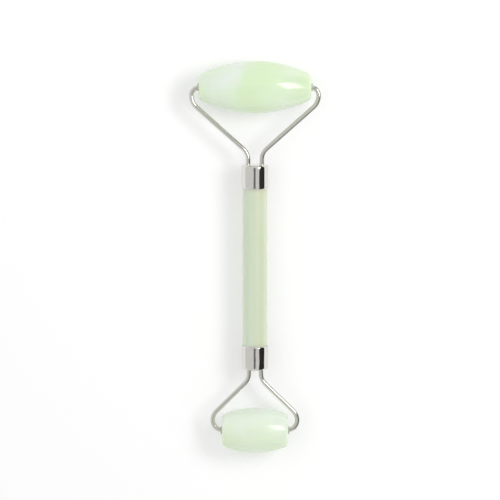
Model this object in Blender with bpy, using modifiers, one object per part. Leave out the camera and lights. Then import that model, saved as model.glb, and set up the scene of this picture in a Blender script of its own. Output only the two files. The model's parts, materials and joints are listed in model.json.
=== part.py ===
"""A two-ended stone face roller, modelled as the separate pieces it is made of.

The tool lies as it rests on a table. Its length runs along Y with the large roller at +Y, its two
spin axes run along X, and both stones touch the ground plane z = 0. All lengths are in metres.

Each end of the tool is a head: a drawn collar on the handle, a bent wire fork rooted in that collar,
and a drilled barrel stone that turns on the fork's two pins. A head is modelled in its own frame. Its
origin is the middle of the collar's closed face, +Z points outwards along the handle, and X runs
along the spin axis.
"""

import math
from dataclasses import dataclass

import bmesh
import bpy
from mathutils import Vector

# Handle: a plain stone rod, glued into a collar at each end.
HANDLE_RADIUS = 0.0047
HANDLE_SHOWN = 0.0604
HANDLE_EDGE = 0.0004

# Collars: caps drawn from thin sheet, closed end outwards.
COLLAR_LENGTH = 0.00925
COLLAR_WALL = 0.0003
COLLAR_END = 0.0004
COLLAR_CORNER = 0.0009
COLLAR_RIM = 0.0001

# Fork wire. The neck bend spreads the two arms above the collar, and the hairpin root sits inside it.
WIRE_RADIUS = 0.000925
NECK_BEND = 0.0055
ROOT_STRAIGHT = 0.0009
PIN_DEPTH = 0.0050
BEND_INSIDE = 0.0003

# Bushes: plastic sleeves fixed in the mouths of a stone's bore, standing a little proud.
BUSH_LENGTH = 0.0062
BUSH_WALL = 0.0003
BUSH_PROUD = 0.0006

# Plugs: cured resin under the hairpin root.
PLUG_FLOOR = 0.0004

# Clearances: glue round a fixed piece, air round the wire where a bush turns on it.
GLUE_GAP = 0.0001
RUNNING_GAP = 0.00025

# Facets round a large and a small turned piece. The turn per facet along a wire bend and an edge.
ROUND_STEPS = 40
SLEEVE_STEPS = 24
BEND_STEP = math.radians(10)
EDGE_STEP = math.radians(30)
WIRE_RESOLUTION = 4
MERGE = 0.00001


@dataclass(frozen=True)
class Head:
    """The sizes that differ between the two ends of the tool."""

    name: str
    roller_length: float
    roller_radius: float
    roller_end_radius: float  # at the flat ends, before their edges are rounded
    roller_edge: float
    reach: float  # from the collar's closed face to the spin axis
    shoulder: float  # from the spin axis back to the corner of the fork's side and arm
    neck: float  # from the collar's closed face to the corner of the arm and leg
    leg_spacing: float  # between the centres of the two legs at the collar
    pin_bend: float  # centreline radius of the bend that turns a side into a pin
    roller_segments: int


LARGE = Head(
    name="large",
    roller_length=0.0426,
    roller_radius=0.00995,
    roller_end_radius=0.0047,
    roller_edge=0.0018,
    reach=0.0295,
    shoulder=0.0059,
    neck=0.0044,
    leg_spacing=0.0052,
    pin_bend=0.0032,
    roller_segments=14,
)
SMALL = Head(
    name="small",
    roller_length=0.0253,
    roller_radius=0.0087,
    roller_end_radius=0.0061,
    roller_edge=0.0018,
    reach=0.0240,
    shoulder=0.0061,
    neck=0.0041,
    leg_spacing=0.0047,
    pin_bend=0.0040,
    roller_segments=10,
)

# What fits together takes its size from the piece inside it.
COLLAR_BORE = HANDLE_RADIUS + GLUE_GAP
COLLAR_RADIUS = COLLAR_BORE + COLLAR_WALL
WIRE_HOLE_RADIUS = WIRE_RADIUS + GLUE_GAP
BUSH_BORE = WIRE_RADIUS + RUNNING_GAP
BUSH_RADIUS = BUSH_BORE + BUSH_WALL
ROLLER_BORE = BUSH_RADIUS + GLUE_GAP


def rounded_path(corners, radii, turn_step):
    """Points of a flat path through the corners, each inner corner turned by an arc of its radius."""
    points = [Vector(corners[0])]
    for before, corner, after, radius in zip(corners, corners[1:], corners[2:], radii):
        corner = Vector(corner)
        back = (Vector(before) - corner).normalized()
        onward = (Vector(after) - corner).normalized()
        turn = math.pi - back.angle(onward)
        start = corner + back * radius * math.tan(turn / 2)
        centre = corner + (back + onward).normalized() * radius / math.cos(turn / 2)
        steps = max(1, round(turn / turn_step)) if radius > 0 else 0
        for step in range(steps + 1):
            angle = turn * step / steps if steps else 0
            spoke = (start - centre) * math.cos(angle) - back * radius * math.sin(angle)
            points.append(centre + spoke)
    points.append(Vector(corners[-1]))
    kept = points[:1]
    for point in points[1:]:
        if (point - kept[-1]).length > MERGE:
            kept.append(point)
    return kept


def make_material(name, colour, metallic, roughness):
    material = bpy.data.materials.new(name)
    material.use_nodes = True
    shader = material.node_tree.nodes["Principled BSDF"]
    shader.inputs["Base Color"].default_value = (*colour, 1.0)
    shader.inputs["Metallic"].default_value = metallic
    shader.inputs["Roughness"].default_value = roughness
    return material


def place(piece, parent, location=(0, 0, 0), rotation=(0, 0, 0)):
    piece.parent = parent
    piece.location = location
    piece.rotation_euler = rotation
    return piece


def turned(name, profile, closed, steps, collection, material=None):
    """A profile in the XZ plane, turned about Z. A closed profile makes a ring."""
    count = len(profile)
    edges = [(index, index + 1) for index in range(count - 1)]
    if closed:
        edges.append((count - 1, 0))
    mesh = bpy.data.meshes.new(name)
    mesh.from_pydata([(x, 0, z) for x, z in profile], edges, [])
    if material:
        mesh.materials.append(material)
    piece = bpy.data.objects.new(name, mesh)
    collection.objects.link(piece)
    screw = piece.modifiers.new("Turn", "SCREW")
    screw.axis = "Z"
    screw.angle = math.tau
    screw.steps = steps
    screw.render_steps = steps
    screw.use_merge_vertices = True
    screw.merge_threshold = MERGE
    screw.use_smooth_shade = True
    return piece


def bent_wire(name, route, radius, collection, material=None):
    """A round wire along a route in the XZ plane, with flat ends."""
    curve = bpy.data.curves.new(name, "CURVE")
    curve.dimensions = "3D"
    curve.bevel_depth = radius
    curve.bevel_resolution = WIRE_RESOLUTION
    curve.use_fill_caps = True
    if material:
        curve.materials.append(material)
    spline = curve.splines.new("POLY")
    spline.points.add(len(route) - 1)
    for point, (x, z) in zip(spline.points, route):
        point.co = (x, 0, z, 1)
    spline.use_smooth = True
    wire = bpy.data.objects.new(name, curve)
    collection.objects.link(wire)
    return wire


def curve_to_mesh(curve_object, collection):
    """The curve's tube as a mesh object with its caps welded on. The curve is removed."""
    evaluated = curve_object.evaluated_get(bpy.context.evaluated_depsgraph_get())
    mesh = bpy.data.meshes.new_from_object(evaluated)
    welded = bmesh.new()
    welded.from_mesh(mesh)
    bmesh.ops.remove_doubles(welded, verts=welded.verts, dist=MERGE)
    welded.to_mesh(mesh)
    welded.free()
    solid = bpy.data.objects.new(curve_object.name + "_solid", mesh)
    solid.matrix_world = curve_object.matrix_world
    collection.objects.link(solid)
    bpy.data.objects.remove(curve_object)
    return solid


def cut(piece, cutter):
    cutter.hide_render = True
    cutter.display_type = "WIRE"
    boolean = piece.modifiers.new("Cut " + cutter.name, "BOOLEAN")
    boolean.operation = "DIFFERENCE"
    boolean.solver = "EXACT"
    boolean.object = cutter


def root_depth(head):
    """How far below the closed face the hairpin's centreline reaches."""
    return COLLAR_END + ROOT_STRAIGHT + head.leg_spacing / 2


def plug_depth(head):
    """How far below the closed face the resin reaches. The handle's end sits under it."""
    return root_depth(head) + WIRE_HOLE_RADIUS + PLUG_FLOOR


def handle_grip(head):
    """The length of handle hidden in this head's collar."""
    return COLLAR_LENGTH - plug_depth(head) - GLUE_GAP


def make_handle(tool, parts, material):
    top = HANDLE_SHOWN / 2 + handle_grip(LARGE)
    bottom = -HANDLE_SHOWN / 2 - handle_grip(SMALL)
    corners = [(0, top), (HANDLE_RADIUS, top), (HANDLE_RADIUS, bottom), (0, bottom)]
    profile = rounded_path(corners, [HANDLE_EDGE, HANDLE_EDGE], EDGE_STEP)
    handle = turned("handle", profile, False, ROUND_STEPS, parts, material)
    place(handle, tool, rotation=(-math.pi / 2, 0, 0))


def make_collar(head, frame, parts, cutters, material):
    """A cap with its closed face at z = 0 and two holes for the fork's legs."""
    corners = [
        (0, 0),
        (COLLAR_RADIUS, 0),
        (COLLAR_RADIUS, -COLLAR_LENGTH),
        (COLLAR_BORE, -COLLAR_LENGTH),
        (COLLAR_BORE, -COLLAR_END),
        (0, -COLLAR_END),
    ]
    radii = [COLLAR_CORNER, COLLAR_RIM, 0, COLLAR_CORNER - COLLAR_WALL]
    profile = rounded_path(corners, radii, EDGE_STEP)
    collar = turned(head.name + "_collar", profile, False, ROUND_STEPS, parts, material)
    place(collar, frame)
    for side in (-1, 1):
        hole_name = f"{head.name}_leg_hole_{'left' if side < 0 else 'right'}"
        end = 2 * COLLAR_END
        drill = [(0, end), (WIRE_HOLE_RADIUS, end), (WIRE_HOLE_RADIUS, -end), (0, -end)]
        hole = turned(hole_name, drill, False, SLEEVE_STEPS, cutters)
        place(hole, frame, (side * head.leg_spacing / 2, 0, -COLLAR_END / 2))
        cut(collar, hole)


def fork_route(head):
    """Centreline of the whole wire, from the left pin's tip round the hairpin to the right pin's tip."""
    leg = head.leg_spacing / 2
    side = head.roller_length / 2 - BEND_INSIDE + head.pin_bend
    pin_tip = head.roller_length / 2 - PIN_DEPTH
    root = -root_depth(head)
    shoulder_height = head.reach - head.shoulder
    slope = math.atan2(shoulder_height - head.neck, side - leg)
    # The shoulder bend is as wide as it can be, so that it runs straight on into the pin bend.
    shoulder_bend = (head.shoulder - head.pin_bend) / math.tan((math.pi / 2 - slope) / 2)
    corners = [
        (0, root),
        (leg, root),
        (leg, head.neck),
        (side, shoulder_height),
        (side, head.reach),
        (pin_tip, head.reach),
    ]
    radii = [leg, NECK_BEND, shoulder_bend, head.pin_bend]
    right = rounded_path(corners, radii, BEND_STEP)
    left = [(-x, z) for x, z in reversed(right[1:])]
    return left + [tuple(point) for point in right]


def make_fork(head, frame, parts, material):
    fork = bent_wire(head.name + "_fork", fork_route(head), WIRE_RADIUS, parts, material)
    place(fork, frame)


def make_plug(head, frame, parts, cutters, material):
    """The resin between the collar's closed end and the handle, with the hairpin's channel in it."""
    radius = COLLAR_BORE - GLUE_GAP
    top = -COLLAR_END - GLUE_GAP
    bottom = -plug_depth(head)
    corners = [(0, top), (radius, top), (radius, bottom), (0, bottom)]
    profile = rounded_path(corners, [COLLAR_CORNER, 0], EDGE_STEP)
    plug = turned(head.name + "_plug", profile, False, ROUND_STEPS, parts, material)
    place(plug, frame)
    leg = head.leg_spacing / 2
    root = -root_depth(head)
    mouth = COLLAR_END
    corners = [(-leg, mouth), (-leg, root), (leg, root), (leg, mouth)]
    hairpin = rounded_path(corners, [leg, leg], BEND_STEP)
    channel_curve = bent_wire(head.name + "_root_channel", hairpin, WIRE_HOLE_RADIUS, cutters)
    channel = curve_to_mesh(channel_curve, cutters)
    place(channel, frame)
    cut(plug, channel)


def roller_profile(head):
    """A flat-ended barrel: one arc along its length, rounded end edges and a straight bore."""
    half = head.roller_length / 2
    drop = head.roller_radius - head.roller_end_radius
    arc_radius = (half**2 + drop**2) / (2 * drop)
    half_angle = math.asin(half / arc_radius)
    barrel = []
    for index in range(head.roller_segments + 1):
        angle = half_angle * (1 - 2 * index / head.roller_segments)
        radius = head.roller_radius - arc_radius * (1 - math.cos(angle))
        barrel.append((radius, arc_radius * math.sin(angle)))
    corners = [(ROLLER_BORE, half), *barrel, (ROLLER_BORE, -half)]
    radii = [head.roller_edge, *[0] * (head.roller_segments - 1), head.roller_edge]
    return rounded_path(corners, radii, EDGE_STEP)


def make_roller(head, axis, parts, material):
    roller = turned(head.name + "_roller", roller_profile(head), True, ROUND_STEPS, parts, material)
    place(roller, axis, rotation=(0, math.pi / 2, 0))


def make_bushes(head, axis, parts, material):
    half = BUSH_LENGTH / 2
    profile = [(BUSH_BORE, half), (BUSH_RADIUS, half), (BUSH_RADIUS, -half), (BUSH_BORE, -half)]
    middle = head.roller_length / 2 + BUSH_PROUD - half
    for side, side_name in ((-1, "left"), (1, "right")):
        bush = turned(f"{head.name}_bush_{side_name}", profile, True, SLEEVE_STEPS, parts, material)
        place(bush, axis, (side * middle, 0, 0), (0, math.pi / 2, 0))


def make_empty(name, collection, parent, location, rotation):
    empty = bpy.data.objects.new(name, None)
    collection.objects.link(empty)
    return place(empty, parent, location, rotation)


def make_tool_frame(parts):
    """The middle of the handle, tilted so that both stones rest on the ground."""
    large_axis = HANDLE_SHOWN / 2 + COLLAR_LENGTH + LARGE.reach
    small_axis = HANDLE_SHOWN / 2 + COLLAR_LENGTH + SMALL.reach
    tilt = math.asin((LARGE.roller_radius - SMALL.roller_radius) / (large_axis + small_axis))
    height = LARGE.roller_radius - large_axis * math.sin(tilt)
    front = large_axis * math.cos(tilt) + LARGE.roller_radius
    back = small_axis * math.cos(tilt) + SMALL.roller_radius
    return make_empty("tool_frame", parts, None, (0, (back - front) / 2, height), (tilt, 0, 0))


def build():
    for old in list(bpy.data.objects):
        bpy.data.objects.remove(old)
    parts = bpy.data.collections.new("jade_face_roller")
    cutters = bpy.data.collections.new("cutters")
    bpy.context.scene.collection.children.link(parts)
    bpy.context.scene.collection.children.link(cutters)

    jade = make_material("jade", (0.70, 0.80, 0.66), 0.0, 0.18)
    nickel = make_material("nickel_plate", (0.80, 0.78, 0.74), 1.0, 0.08)
    sleeve = make_material("sleeve_plastic", (0.62, 0.68, 0.58), 0.0, 0.40)
    resin = make_material("resin", (0.72, 0.66, 0.46), 0.0, 0.30)

    tool = make_tool_frame(parts)
    make_handle(tool, parts, jade)
    face = HANDLE_SHOWN / 2 + COLLAR_LENGTH
    for head, outwards in ((LARGE, 1), (SMALL, -1)):
        rotation = (-outwards * math.pi / 2, 0, 0)
        frame = make_empty(head.name + "_head", parts, tool, (0, outwards * face, 0), rotation)
        make_collar(head, frame, parts, cutters, nickel)
        make_fork(head, frame, parts, nickel)
        make_plug(head, frame, parts, cutters, resin)
        axis = make_empty(head.name + "_spin_axis", parts, frame, (0, 0, head.reach), (0, 0, 0))
        make_roller(head, axis, parts, jade)
        make_bushes(head, axis, parts, sleeve)


build()
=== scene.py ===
import json
import math

import bmesh
import bpy
from mathutils import Matrix, Vector, noise


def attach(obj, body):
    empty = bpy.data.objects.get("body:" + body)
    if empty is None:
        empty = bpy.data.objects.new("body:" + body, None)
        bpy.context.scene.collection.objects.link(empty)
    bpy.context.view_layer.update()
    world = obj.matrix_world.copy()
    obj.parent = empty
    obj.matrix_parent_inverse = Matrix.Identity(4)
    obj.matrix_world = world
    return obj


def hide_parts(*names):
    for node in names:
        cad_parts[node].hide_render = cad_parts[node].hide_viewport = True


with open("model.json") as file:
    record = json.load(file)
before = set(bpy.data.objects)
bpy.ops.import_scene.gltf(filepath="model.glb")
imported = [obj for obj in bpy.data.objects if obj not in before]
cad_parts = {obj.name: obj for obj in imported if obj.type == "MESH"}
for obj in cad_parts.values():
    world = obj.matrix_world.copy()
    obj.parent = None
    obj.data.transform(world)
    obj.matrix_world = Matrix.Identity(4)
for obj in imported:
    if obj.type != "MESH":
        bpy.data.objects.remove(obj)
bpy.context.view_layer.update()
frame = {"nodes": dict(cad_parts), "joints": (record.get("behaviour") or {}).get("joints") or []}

# Camera. The tool lies on a table and is seen from above, square to its two forks and leaning a little
# towards the large stone's end, so that the near rims of the collars curve towards the small stone.
spin_points = {joint["name"]: Vector(joint["pos_m"]) for joint in frame["joints"]}
large_axis = spin_points["large_roller_spin"]
small_axis = spin_points["small_roller_spin"]
tool_line = (large_axis - small_axis).normalized()

view_distance = 0.90
view_lean = math.radians(6.5)
view_height = 0.1913
looked_at = Vector((-0.0019, 0.0033, (large_axis.z + small_axis.z) / 2))

camera = bpy.data.cameras.new("camera")
camera.sensor_width = 36
camera.lens = camera.sensor_width * view_distance / view_height
camera.clip_start = 0.01
camera.clip_end = 20
camera_object = bpy.data.objects.new("camera", camera)
bpy.context.scene.collection.objects.link(camera_object)
camera_object.location = looked_at + Vector((0, math.sin(view_lean), math.cos(view_lean))) * view_distance
camera_object.rotation_euler = (-view_lean, 0, 0)
bpy.context.scene.camera = camera_object


# Handle. A rod of pale serpentine jade, sawn from the block, ground round on a wheel and polished by
# hand, so that it is cloudy inside and never quite even. Its plain ends are glued into the collars.
handle_radius = 0.0047
handle_edge = 0.0004
handle_in_collar = 0.0038
collar_length = 0.00925
large_reach = 0.0295
small_reach = 0.0240
stone_uneven = 0.00003
large_face = large_axis - tool_line * large_reach
small_face = small_axis + tool_line * small_reach


def outline(bm, stations):
    """Draws a line through (radius, height) stations, ready to be turned round +Z."""
    points = [bm.verts.new((radius, 0, height)) for radius, height in stations]
    return points + [bm.edges.new(pair) for pair in zip(points, points[1:])]


def grind_uneven(bm, depth, wave):
    """Leaves the slow waves of hand work in a ground or drawn surface."""
    bm.normal_update()
    for vert in bm.verts:
        vert.co += vert.normal * depth * noise.noise(vert.co / wave)


def stood_on(origin, outwards):
    """The place of a piece modelled upright: +Z turned to outwards, +X kept across the tool."""
    across = Vector((1, 0, 0))
    place = Matrix((across, outwards.cross(across), outwards)).transposed().to_4x4()
    place.translation = origin
    return place


def finished(bm, name, material, body, node):
    """Makes a bmesh a piece of the tool, which stands for its CAD node."""
    bmesh.ops.recalc_face_normals(bm, faces=bm.faces)
    mesh = bpy.data.meshes.new(name)
    bm.to_mesh(mesh)
    bm.free()
    mesh.shade_smooth()
    mesh.set_sharp_from_angle(angle=math.radians(50))
    mesh.materials.append(material)
    piece = bpy.data.objects.new(name, mesh)
    bpy.context.scene.collection.objects.link(piece)
    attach(piece, body)
    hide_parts(node)
    return piece


def jade(name, offset, stretch, clear, milky, green, gloss, fibre):
    """Polished pale jade: milky and green clouds, fine fibre inside, and a waxy polish with faint smears."""
    material = bpy.data.materials.new(name)
    material.use_nodes = True
    nodes = material.node_tree.nodes
    links = material.node_tree.links
    shader = nodes["Principled BSDF"]
    place = nodes.new("ShaderNodeTexCoord")
    mapping = nodes.new("ShaderNodeMapping")
    mapping.inputs["Location"].default_value = offset
    mapping.inputs["Scale"].default_value = stretch
    links.new(place.outputs["Object"], mapping.inputs["Vector"])

    def cloud(scale, detail, distortion, low, high):
        texture = nodes.new("ShaderNodeTexNoise")
        texture.inputs["Scale"].default_value = scale
        texture.inputs["Detail"].default_value = detail
        texture.inputs["Distortion"].default_value = distortion
        links.new(mapping.outputs["Vector"], texture.inputs["Vector"])
        spread = nodes.new("ShaderNodeMapRange")
        spread.interpolation_type = "SMOOTHSTEP"
        spread.inputs["From Min"].default_value = low
        spread.inputs["From Max"].default_value = high
        links.new(texture.outputs["Fac"], spread.inputs["Value"])
        return spread

    def tint(share, under, colour, strength):
        share.inputs["To Max"].default_value = strength
        mix = nodes.new("ShaderNodeMix")
        mix.data_type = "RGBA"
        links.new(share.outputs["Result"], mix.inputs["Factor"])
        if isinstance(under, tuple):
            mix.inputs[6].default_value = (*under, 1)
        else:
            links.new(under, mix.inputs[6])
        mix.inputs[7].default_value = (*colour, 1)
        return mix.outputs[2]

    colour = tint(cloud(34, 2, 0.3, 0.37, 0.63), clear, milky, 1)
    colour = tint(cloud(45, 2, 0.5, 0.42, 0.78), colour, green, 0.8)
    colour = tint(cloud(420, 5, 1.6, 0.55, 0.90), colour, milky, fibre)
    links.new(colour, shader.inputs["Base Color"])

    smear = cloud(120, 2, 0.2, 0.30, 0.80)
    smear.inputs["To Min"].default_value = gloss
    smear.inputs["To Max"].default_value = gloss * 1.2
    links.new(smear.outputs["Result"], shader.inputs["Roughness"])
    ripple = nodes.new("ShaderNodeTexNoise")
    ripple.inputs["Scale"].default_value = 520
    ripple.inputs["Detail"].default_value = 2
    links.new(mapping.outputs["Vector"], ripple.inputs["Vector"])
    bump = nodes.new("ShaderNodeBump")
    bump.inputs["Strength"].default_value = 0.25
    bump.inputs["Distance"].default_value = 0.00002
    links.new(ripple.outputs["Fac"], bump.inputs["Height"])
    links.new(bump.outputs["Normal"], shader.inputs["Normal"])

    shader.inputs["IOR"].default_value = 1.57
    shader.inputs["Subsurface Weight"].default_value = 0.8
    shader.inputs["Subsurface Radius"].default_value = (0.8, 1.0, 0.7)
    shader.inputs["Subsurface Scale"].default_value = 0.004
    return material


handle_jade = jade("handle_jade", (0.31, 0.12, 0.0), (1.8, 0.3, 1.8),
                   (0.64, 0.71, 0.56), (0.70, 0.76, 0.71), (0.66, 0.67, 0.45), 0.22, 0.02)
rod = bmesh.new()
rod_top = (large_face - small_face).length / 2 - collar_length + handle_in_collar
sides = [(handle_radius, rod_top * (1 - step / 30)) for step in range(61)]
profile = outline(rod, [(0, rod_top), *sides, (0, -rod_top)])
bmesh.ops.spin(rod, geom=profile, cent=(0, 0, 0), axis=(0, 0, 1), angle=math.tau, steps=72, use_merge=True)
bmesh.ops.remove_doubles(rod, verts=rod.verts, dist=0.00001)
end_rings = [edge for edge in rod.edges
             if all(abs(vert.co.z) > rod_top - 1e-6 and vert.co.xy.length > 1e-4 for vert in edge.verts)]
bmesh.ops.bevel(rod, geom=end_rings, offset=handle_edge, segments=3, profile=0.5, affect="EDGES", material=-1)
grind_uneven(rod, stone_uneven, 0.011)
bmesh.ops.transform(rod, matrix=stood_on((large_face + small_face) / 2, tool_line), verts=rod.verts)
finished(rod, "handle_rod", handle_jade, "handle_assembly", "handle")


# Plugs. Clear two-part resin, poured into each collar round the root of the fork and cured there. It
# fastens fork, collar and handle to each other, and only a film of it shows in the leg holes.
resin = bpy.data.materials.new("cured_resin")
resin.use_nodes = True
resin_nodes = resin.node_tree.nodes
resin_links = resin.node_tree.links
resin_shader = resin_nodes["Principled BSDF"]
resin_place = resin_nodes.new("ShaderNodeTexCoord")
bubbles = resin_nodes.new("ShaderNodeTexNoise")
bubbles.inputs["Scale"].default_value = 900
resin_links.new(resin_place.outputs["Object"], bubbles.inputs["Vector"])
amber = resin_nodes.new("ShaderNodeValToRGB")
amber.color_ramp.elements[0].color = (0.55, 0.46, 0.28, 1)
amber.color_ramp.elements[1].color = (0.74, 0.68, 0.50, 1)
resin_links.new(bubbles.outputs["Fac"], amber.inputs["Fac"])
resin_links.new(amber.outputs["Color"], resin_shader.inputs["Base Color"])
resin_shader.inputs["Roughness"].default_value = 0.3
for plug_name in ("large_plug", "small_plug"):
    plug = frame["nodes"][plug_name]
    plug.data.materials.clear()
    plug.data.materials.append(resin)


# Collars. Caps drawn from thin brass sheet, pierced for the two legs of the fork, spun in at the rim to
# hug the handle, then polished and nickel plated. Handling has left the wall slightly uneven.
wire_radius = 0.000925
collar_radius = 0.0051
collar_wall = 0.0003
collar_corner = 0.0009
rim_roll = 0.0006
rim_turn = math.radians(50)
hole_gap = 0.0001
leg_hole = wire_radius + hole_gap
large_leg_spacing = 0.0052
small_leg_spacing = 0.0047


def nickel(name, colour, roughness, marks_scale, marks_depth):
    """Bright nickel plate: nearly a mirror, with a little haze and faint handling marks."""
    material = bpy.data.materials.new(name)
    material.use_nodes = True
    nodes = material.node_tree.nodes
    links = material.node_tree.links
    shader = nodes["Principled BSDF"]
    place = nodes.new("ShaderNodeTexCoord")
    marks = nodes.new("ShaderNodeTexNoise")
    marks.inputs["Scale"].default_value = marks_scale
    marks.inputs["Detail"].default_value = 4
    links.new(place.outputs["Object"], marks.inputs["Vector"])
    haze = nodes.new("ShaderNodeMapRange")
    haze.inputs["From Min"].default_value = 0.35
    haze.inputs["From Max"].default_value = 0.75
    haze.inputs["To Min"].default_value = roughness
    haze.inputs["To Max"].default_value = roughness * 2.5
    links.new(marks.outputs["Fac"], haze.inputs["Value"])
    links.new(haze.outputs["Result"], shader.inputs["Roughness"])
    tone = nodes.new("ShaderNodeMix")
    tone.data_type = "RGBA"
    tone.inputs[6].default_value = (*colour, 1)
    tone.inputs[7].default_value = (*[channel * 0.9 for channel in colour], 1)
    links.new(marks.outputs["Fac"], tone.inputs["Factor"])
    links.new(tone.outputs[2], shader.inputs["Base Color"])
    bump = nodes.new("ShaderNodeBump")
    bump.inputs["Strength"].default_value = 0.4
    bump.inputs["Distance"].default_value = marks_depth
    links.new(marks.outputs["Fac"], bump.inputs["Height"])
    links.new(bump.outputs["Normal"], shader.inputs["Normal"])
    shader.inputs["Metallic"].default_value = 1
    return material


collar_nickel = nickel("collar_nickel", (0.78, 0.76, 0.72), 0.05, 900, 0.000012)


def drawn_collar(name, face, outwards, leg_spacing, uneven, node):
    cap = bmesh.new()
    corner = [(collar_radius - collar_corner * (1 - math.sin(angle)), -collar_corner * (1 - math.cos(angle)))
              for angle in (math.radians(step * 11.25) for step in range(9))]
    wall_top = -collar_corner
    wall_bottom = rim_roll - collar_length
    wall = [(collar_radius, wall_top + (wall_bottom - wall_top) * step / 20) for step in range(1, 20)]
    roll = [(collar_radius - rim_roll * (1 - math.cos(angle)), wall_bottom - rim_roll * math.sin(angle))
            for angle in (rim_turn * step / 5 for step in range(6))]
    profile = outline(cap, corner + wall + roll)
    bmesh.ops.spin(cap, geom=profile, cent=(0, 0, 0), axis=(0, 0, 1), angle=math.tau, steps=96,
                   use_merge=True)
    bmesh.ops.remove_doubles(cap, verts=cap.verts, dist=0.00001)
    flat = [edge for edge in cap.edges if edge.is_boundary and abs(edge.verts[0].co.z) < 1e-7]
    for side in (-1, 1):
        middle = Matrix.Translation((side * leg_spacing / 2, 0, 0))
        hole = bmesh.ops.create_circle(cap, cap_ends=False, segments=32, radius=leg_hole, matrix=middle)
        flat += list({edge for vert in hole["verts"] for edge in vert.link_edges})
    bmesh.ops.triangle_fill(cap, edges=flat, use_beauty=True)
    bmesh.ops.recalc_face_normals(cap, faces=cap.faces)
    if sum(face.normal.z for face in cap.faces) < 0:
        bmesh.ops.reverse_faces(cap, faces=cap.faces)
    grind_uneven(cap, uneven, 0.0036)
    bmesh.ops.solidify(cap, geom=cap.faces, thickness=collar_wall)
    bmesh.ops.transform(cap, matrix=stood_on(face, outwards), verts=cap.verts)
    return finished(cap, name, collar_nickel, "handle_assembly", node)


drawn_collar("large_collar_cap", large_face, tool_line, large_leg_spacing, 0.00003, "large_collar")
drawn_collar("small_collar_cap", small_face, -tool_line, small_leg_spacing, 0.00005, "small_collar")


# Forks. Each is one length of hard brass wire, bent cold round pegs into a triangle and nickel plated.
# The hairpin root comes up through the collar's two holes, and the ends turn in as pins.
wire_nickel = nickel("wire_nickel", (0.76, 0.74, 0.69), 0.06, 1400, 0.000006)
hairpin_straight = 0.0013
neck_bend = 0.0055
pin_depth = 0.0050
bend_inside = 0.0003
wire_uneven = 0.000012
large_stone_length = 0.0426
small_stone_length = 0.0253


def bent_fork(name, face, outwards, reach, stone_length, shoulder, neck, leg_spacing, pin_bend, node):
    half_stone = stone_length / 2
    leg = leg_spacing / 2
    side = half_stone - bend_inside + pin_bend
    slope = math.atan2(reach - shoulder - neck, side - leg)
    lean = math.pi / 2 - slope
    shoulder_bend = (shoulder - pin_bend) / math.tan(lean / 2)
    neck_reach = neck_bend * math.tan(lean / 2)
    arm = math.hypot(reach - shoulder - neck, side - leg) - neck_reach - (shoulder - pin_bend)
    half_route = [("run", pin_depth - bend_inside), ("bend", pin_bend, math.pi / 2),
                  ("bend", shoulder_bend, lean),
                  ("run", arm), ("bend", neck_bend, -lean), ("run", neck - neck_reach + hairpin_straight)]
    route = half_route + [("bend", leg, math.pi)] + half_route[::-1]

    wire = bmesh.new()
    place = Vector((-half_stone + pin_depth, 0, reach))
    tip = Matrix.Translation(place) @ Matrix.Rotation(math.pi / 2, 4, "Y")
    bmesh.ops.create_circle(wire, cap_ends=True, segments=28, radius=wire_radius, matrix=tip)
    front = wire.edges[:]
    heading = math.pi
    for kind, *measure in route:
        ahead = Vector((math.cos(heading), 0, math.sin(heading)))
        if kind == "run":
            pieces = max(1, round(measure[0] / 0.0012))
            for _ in range(pieces):
                grown = bmesh.ops.extrude_edge_only(wire, edges=front)["geom"]
                ring = [item for item in grown if isinstance(item, bmesh.types.BMVert)]
                front = [item for item in grown if isinstance(item, bmesh.types.BMEdge)
                         and all(vert in ring for vert in item.verts)]
                bmesh.ops.translate(wire, verts=ring, vec=ahead * measure[0] / pieces)
            place += ahead * measure[0]
        else:
            radius, turn = measure
            centre = place + Vector((-ahead.z, 0, ahead.x)) * math.copysign(radius, turn)
            ring = list({vert for edge in front for vert in edge.verts})
            swept = bmesh.ops.spin(wire, geom=ring + front, cent=centre, axis=(0, -1, 0), angle=turn,
                                   steps=max(6, round(abs(turn) / math.radians(5))))["geom_last"]
            front = [item for item in swept if isinstance(item, bmesh.types.BMEdge)]
            place = centre + Matrix.Rotation(turn, 3, (0, -1, 0)) @ (place - centre)
            heading += turn
    bmesh.ops.contextual_create(wire, geom=front)
    grind_uneven(wire, wire_uneven, 0.003)
    bmesh.ops.transform(wire, matrix=stood_on(face, outwards), verts=wire.verts)
    return finished(wire, name, wire_nickel, "handle_assembly", node)


bent_fork("large_fork_wire", large_face, tool_line, large_reach, large_stone_length,
          0.0059, 0.0044, large_leg_spacing, 0.0032, "large_fork")
bent_fork("small_fork_wire", small_face, -tool_line, small_reach, small_stone_length,
          0.0061, 0.0041, small_leg_spacing, 0.0040, "small_fork")


# Rollers. Barrels of the same jade, ground to one arc along their length, with well rounded ends, and
# polished to a high gloss. Each is drilled right through, and turns freely on the fork's two pins.
stone_bore = 0.001575
mouth_edge = 0.00025
end_round = 0.0018


def along_spin_axis(point):
    """The place of a turned piece modelled upright, laid along the spin axis through this point."""
    return Matrix.Translation(point) @ Matrix.Rotation(math.pi / 2, 4, "Y")


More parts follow.
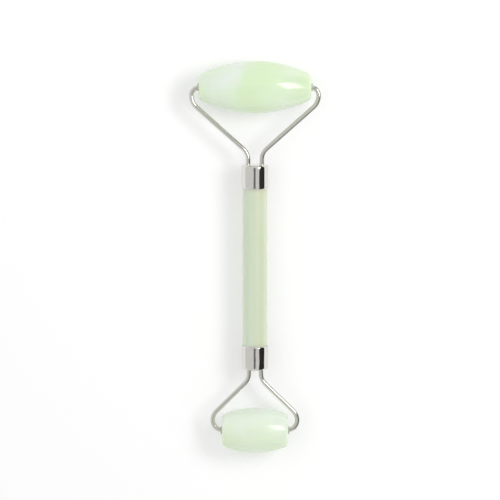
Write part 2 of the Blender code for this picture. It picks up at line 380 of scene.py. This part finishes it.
def barrel_stone(name, axis_point, length, radius, end_radius, material, body, node):
    stone = bmesh.new()
    half = length / 2
    drop = radius - end_radius
    arc = (half**2 + drop**2) / (2 * drop)
    flat_radius = radius - arc + math.sqrt((arc - end_round)**2 - (half - end_round)**2)
    barrel_turn = math.asin((half - end_round) / (arc - end_round))
    front = stone.verts.new((flat_radius, 0, half))
    for centre, turn, steps in (
        ((flat_radius, 0, half - end_round), math.pi / 2 - barrel_turn, 8),
        ((radius - arc, 0, 0), 2 * barrel_turn, 54),
        ((flat_radius, 0, end_round - half), math.pi / 2 - barrel_turn, 8),
    ):
        swept = bmesh.ops.spin(stone, geom=[front], cent=centre, axis=(0, 1, 0), angle=turn, steps=steps)
        front = swept["geom_last"][0]
    bore = [stone.verts.new((stone_bore, 0, half * (step / 6 - 1))) for step in range(13)]
    for pair in zip([front, *bore], [*bore, stone.verts[:][0]]):
        stone.edges.new(pair)
    bmesh.ops.spin(stone, geom=stone.verts[:] + stone.edges[:], cent=(0, 0, 0), axis=(0, 0, 1),
                   angle=math.tau, steps=112, use_merge=True)
    bmesh.ops.remove_doubles(stone, verts=stone.verts, dist=0.00001)
    mouths = [edge for edge in stone.edges
              if all(abs(vert.co.z) > half - 1e-6 for vert in edge.verts)
              and all(vert.co.xy.length < stone_bore + 1e-5 for vert in edge.verts)]
    bmesh.ops.bevel(stone, geom=mouths, offset=mouth_edge, segments=4, profile=0.5, affect="EDGES",
                    material=-1)
    grind_uneven(stone, stone_uneven, 0.012)
    bmesh.ops.transform(stone, matrix=along_spin_axis(axis_point), verts=stone.verts)
    return finished(stone, name, material, body, node)


large_jade = jade("large_stone_jade", (0.05, 0.0, 0.0), (1, 1, 1),
                  (0.72, 0.84, 0.63), (0.79, 0.85, 0.79), (0.68, 0.82, 0.54), 0.09, 0.12)
small_jade = jade("small_stone_jade", (0.1, 0.2, 0.0), (1, 1, 1),
                  (0.74, 0.84, 0.65), (0.78, 0.85, 0.75), (0.70, 0.81, 0.57), 0.18, 0.08)
barrel_stone("large_stone", large_axis, large_stone_length, 0.00995, 0.0047, large_jade,
             "large_roller_assembly", "large_roller")
barrel_stone("small_stone", small_axis, small_stone_length, 0.0087, 0.0061, small_jade,
             "small_roller_assembly", "small_roller")


# Bushes. Short sleeves cut from translucent nylon tube and glued into the mouths of each bore, so that
# the pin runs on plastic and not on stone. They stand a little proud and keep the stone off the wire.
bush_bore = 0.001175
bush_radius = 0.001475
bush_length = 0.0062
bush_proud = 0.0006
bush_lip = 0.00008
nylon = bpy.data.materials.new("sleeve_nylon")
nylon.use_nodes = True
nylon_nodes = nylon.node_tree.nodes
nylon_links = nylon.node_tree.links
nylon_shader = nylon_nodes["Principled BSDF"]
nylon_place = nylon_nodes.new("ShaderNodeTexCoord")
nylon_grain = nylon_nodes.new("ShaderNodeTexNoise")
nylon_grain.inputs["Scale"].default_value = 1500
nylon_links.new(nylon_place.outputs["Object"], nylon_grain.inputs["Vector"])
nylon_tint = nylon_nodes.new("ShaderNodeValToRGB")
nylon_tint.color_ramp.elements[0].color = (0.44, 0.50, 0.40, 1)
nylon_tint.color_ramp.elements[1].color = (0.60, 0.66, 0.55, 1)
nylon_links.new(nylon_grain.outputs["Fac"], nylon_tint.inputs["Fac"])
nylon_links.new(nylon_tint.outputs["Color"], nylon_shader.inputs["Base Color"])
nylon_shader.inputs["Roughness"].default_value = 0.35
nylon_shader.inputs["Subsurface Weight"].default_value = 0.3
nylon_shader.inputs["Subsurface Scale"].default_value = 0.001
for end, axis_point, stone_length in (("large", large_axis, large_stone_length),
                                      ("small", small_axis, small_stone_length)):
    for side, side_name in ((-1, "left"), (1, "right")):
        sleeve = bmesh.new()
        outer_end = stone_length / 2 + bush_proud
        inner_end = outer_end - bush_length
        stations = [(bush_bore, inner_end), (bush_bore, outer_end), (bush_radius, outer_end),
                    (bush_radius, inner_end), (bush_bore, inner_end)]
        profile = outline(sleeve, stations)
        bmesh.ops.spin(sleeve, geom=profile, cent=(0, 0, 0), axis=(0, 0, 1), angle=math.tau,
                       steps=48, use_merge=True)
        bmesh.ops.remove_doubles(sleeve, verts=sleeve.verts, dist=0.00001)
        lips = [edge for edge in sleeve.edges if abs(edge.verts[0].co.z - edge.verts[1].co.z) < 1e-7
                and abs(edge.verts[0].co.xy.length - edge.verts[1].co.xy.length) < 1e-6]
        bmesh.ops.bevel(sleeve, geom=lips, offset=bush_lip, segments=3, profile=0.5, affect="EDGES",
                        material=-1)
        if side < 0:
            bmesh.ops.rotate(sleeve, verts=sleeve.verts, cent=(0, 0, 0),
                             matrix=Matrix.Rotation(math.pi, 3, "X"))
        bmesh.ops.transform(sleeve, matrix=along_spin_axis(axis_point), verts=sleeve.verts)
        finished(sleeve, f"{end}_sleeve_{side_name}", nylon, f"{end}_roller_assembly",
                 f"{end}_bush_{side_name}")


# Studio. A white table in a white room. A large soft light hangs to the left and a smaller one to the
# right. A black card stands on the table to the right, and a grey card hangs overhead, where a camera
# would be, so that the bright metal has something dark to mirror. The cards take no light off the table.
scene = bpy.context.scene
scene.view_settings.view_transform = "Standard"
world = bpy.data.worlds.new("white_room")
world.use_nodes = True
world.node_tree.nodes["Background"].inputs["Color"].default_value = (1, 1, 1, 1)
world.node_tree.nodes["Background"].inputs["Strength"].default_value = 0.75
scene.world = world


def studio_sheet(name, shade, glow, width, depth, place):
    material = bpy.data.materials.new(name)
    material.use_nodes = True
    shader = material.node_tree.nodes["Principled BSDF"]
    shader.inputs["Base Color"].default_value = (shade, shade, shade, 1)
    shader.inputs["Roughness"].default_value = 1
    shader.inputs["Specular IOR Level"].default_value = 0
    shader.inputs["Emission Color"].default_value = (1, 1, 1, 1)
    shader.inputs["Emission Strength"].default_value = glow
    sheet = bmesh.new()
    bmesh.ops.create_grid(sheet, x_segments=1, y_segments=1, size=0.5)
    bmesh.ops.scale(sheet, verts=sheet.verts, vec=(width, depth, 1))
    bmesh.ops.transform(sheet, matrix=place, verts=sheet.verts)
    mesh = bpy.data.meshes.new(name)
    sheet.to_mesh(mesh)
    sheet.free()
    mesh.materials.append(material)
    piece = bpy.data.objects.new(name, mesh)
    scene.collection.objects.link(piece)
    return piece


studio_sheet("floor", 0.85, 0.15, 12, 12, Matrix())

black_card_place = Matrix.Translation((0.4, 0, 0.28)) @ Matrix.Rotation(math.pi / 2, 4, "Y")
black_card = studio_sheet("black_card", 0.03, 0, 0.54, 1.4, black_card_place)
black_card.visible_camera = False
black_card.visible_diffuse = False
black_card.visible_shadow = False

grey_card = studio_sheet("grey_card", 0.2, 0, 0.15, 0.25, Matrix.Translation((-0.03, -0.08, 0.5)))
grey_card.visible_camera = False
grey_card.visible_diffuse = False
grey_card.visible_shadow = False


def soft_light(name, power, size, right, back, distance, in_gloss):
    lamp = bpy.data.lights.new(name, "AREA")
    lamp.shape = "RECTANGLE"
    lamp.size, lamp.size_y = size
    lamp.energy = power
    lamp_object = bpy.data.objects.new(name, lamp)
    scene.collection.objects.link(lamp_object)
    towards = Vector((math.tan(math.radians(right)), math.tan(math.radians(back)), 1)).normalized()
    lamp_object.location = towards * distance
    lamp_object.rotation_euler = towards.to_track_quat("Z", "Y").to_euler()
    lamp_object.visible_glossy = in_gloss


soft_light("large_soft_light", 1.5, (1.0, 1.0), -30, 12, 1.1, False)
soft_light("gloss_light", 0.8, (0.25, 0.17), 36, 19, 0.54, True)
